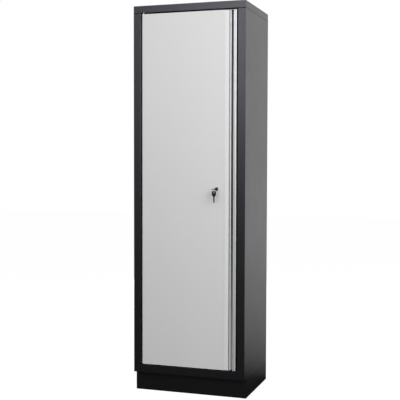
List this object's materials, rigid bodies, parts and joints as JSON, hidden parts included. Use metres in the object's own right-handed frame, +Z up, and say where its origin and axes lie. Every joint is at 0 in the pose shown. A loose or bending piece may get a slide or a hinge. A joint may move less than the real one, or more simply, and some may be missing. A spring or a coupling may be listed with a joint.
{
  "type": "tool chest side locker",
  "caption": "Tall narrow steel side locker with one lockable inset door, full-height aluminium finger grip, rod lock with keys, lift-out shelves and recessed plinth.",
  "frame": {"origin": "floor level, middle of the overall box; the keys in the lock are part of that box, so the carcass's own middle lies 27 mm behind the origin", "axes": "+Z up, +X to the right seen from the front, +Y to the back; the door faces -Y"},
  "size_m": [0.6, 0.5042, 2],
  "materials": {
    "dark_coat": "anthracite fine-texture powder coat",
    "black_coat": "black powder coat",
    "grey_coat": "light grey satin powder coat",
    "aluminium": "satin anodised extrusion",
    "zinc_steel": "zinc plated",
    "dark_nickel": "dark nickel plated",
    "black_plastic": "moulded, fine grain",
    "grey_plastic": "moulded",
    "rubber": "matt"
  },
  "bodies": {
    "carcass": {"kick_plate": "black_coat", "rear_plinth_rail": "black_coat", "left_plinth_rail": "black_coat", "right_plinth_rail": "black_coat", "left_side_panel": "dark_coat", "right_side_panel": "dark_coat", "back_panel": "dark_coat", "top_cap": "dark_coat", "floor_pan": "dark_coat", "upright_front_left": "zinc_steel", "upright_front_right": "zinc_steel", "upright_rear_left": "zinc_steel", "upright_rear_right": "zinc_steel", "shelf_1": "grey_coat", "shelf_2": "grey_coat", "shelf_3": "grey_coat", "shelf_4": "grey_coat", "shelf_clip_1_front_left": "zinc_steel", "shelf_clip_1_front_right": "zinc_steel", "shelf_clip_1_rear_left": "zinc_steel", "shelf_clip_1_rear_right": "zinc_steel", "shelf_clip_2_front_left": "zinc_steel", "shelf_clip_2_front_right": "zinc_steel", "shelf_clip_2_rear_left": "zinc_steel", "shelf_clip_2_rear_right": "zinc_steel", "shelf_clip_3_front_left": "zinc_steel", "shelf_clip_3_front_right": "zinc_steel", "shelf_clip_3_rear_left": "zinc_steel", "shelf_clip_3_rear_right": "zinc_steel", "shelf_clip_4_front_left": "zinc_steel", "shelf_clip_4_front_right": "zinc_steel", "shelf_clip_4_rear_left": "zinc_steel", "shelf_clip_4_rear_right": "zinc_steel", "top_hinge_pin": "zinc_steel", "bottom_hinge_pin": "zinc_steel", "lower_door_bumper": "rubber", "upper_door_bumper": "rubber"},
    "door": {"door_skin": "grey_coat", "door_inner_pan": "grey_coat", "door_grip_profile": "aluminium", "grip_top_cap": "grey_plastic", "grip_bottom_cap": "grey_plastic", "top_hinge_bush": "black_plastic", "bottom_hinge_bush": "black_plastic", "lock_body": "dark_nickel", "lock_nut": "zinc_steel", "rod_guide_1": "black_plastic", "rod_guide_2": "black_plastic", "rod_guide_3": "black_plastic", "rod_guide_4": "black_plastic"},
    "plug": {"lock_plug": "dark_nickel", "rod_drive_disc": "zinc_steel", "drive_screw": "zinc_steel"},
    "key": {"key_blade": "dark_nickel", "key_bow": "black_plastic"},
    "key_ring": {"key_ring": "zinc_steel"},
    "spare_key": {"spare_key_blade": "dark_nickel", "spare_key_bow": "black_plastic"},
    "upper_rod": {"upper_lock_rod": "zinc_steel"},
    "lower_rod": {"lower_lock_rod": "zinc_steel"}
  },
  "joints": [
    {"name": "door_hinge", "type": "hinge", "parent": "carcass", "child": "door", "pos_m": [-0.2485, -0.18795, 1.051], "axis": [0, 0, -1], "range_deg": [0, 105]},
    {"name": "lock_turn", "type": "hinge", "parent": "door", "child": "plug", "pos_m": [0.1507, -0.19795, 1.064], "axis": [0, -1, 0], "range_deg": [0, 90]},
    {"name": "upper_rod_slide", "type": "slide", "parent": "door", "child": "upper_rod", "axis": [0, 0, 1], "range_m": [0, 0.017]},
    {"name": "lower_rod_slide", "type": "slide", "parent": "door", "child": "lower_rod", "axis": [0, 0, -1], "range_m": [0, 0.017]},
    {"name": "key_withdraw", "type": "slide", "parent": "plug", "child": "key", "axis": [0, -1, 0], "range_m": [0, 0.03]},
    {"name": "key_ring_tilt", "type": "hinge", "parent": "key", "child": "key_ring", "pos_m": [0.1507, -0.24195, 1.06744], "axis": [0, -1, 0], "range_deg": [-36.1, 0]},
    {"name": "spare_key_swing", "type": "hinge", "parent": "key_ring", "child": "spare_key", "pos_m": [0.1507, -0.24195, 1.04904], "axis": [0, -1, 0], "range_deg": [-25, 25]}
  ],
  "couplings": [
    {"joint": "lock_turn", "follows": "upper_rod_slide", "rad_per_m": 92.39},
    {"joint": "lower_rod_slide", "follows": "upper_rod_slide", "ratio": 1},
    {"joint": "key_ring_tilt", "follows": "upper_rod_slide", "rad_per_m": -36.956}
  ]
}
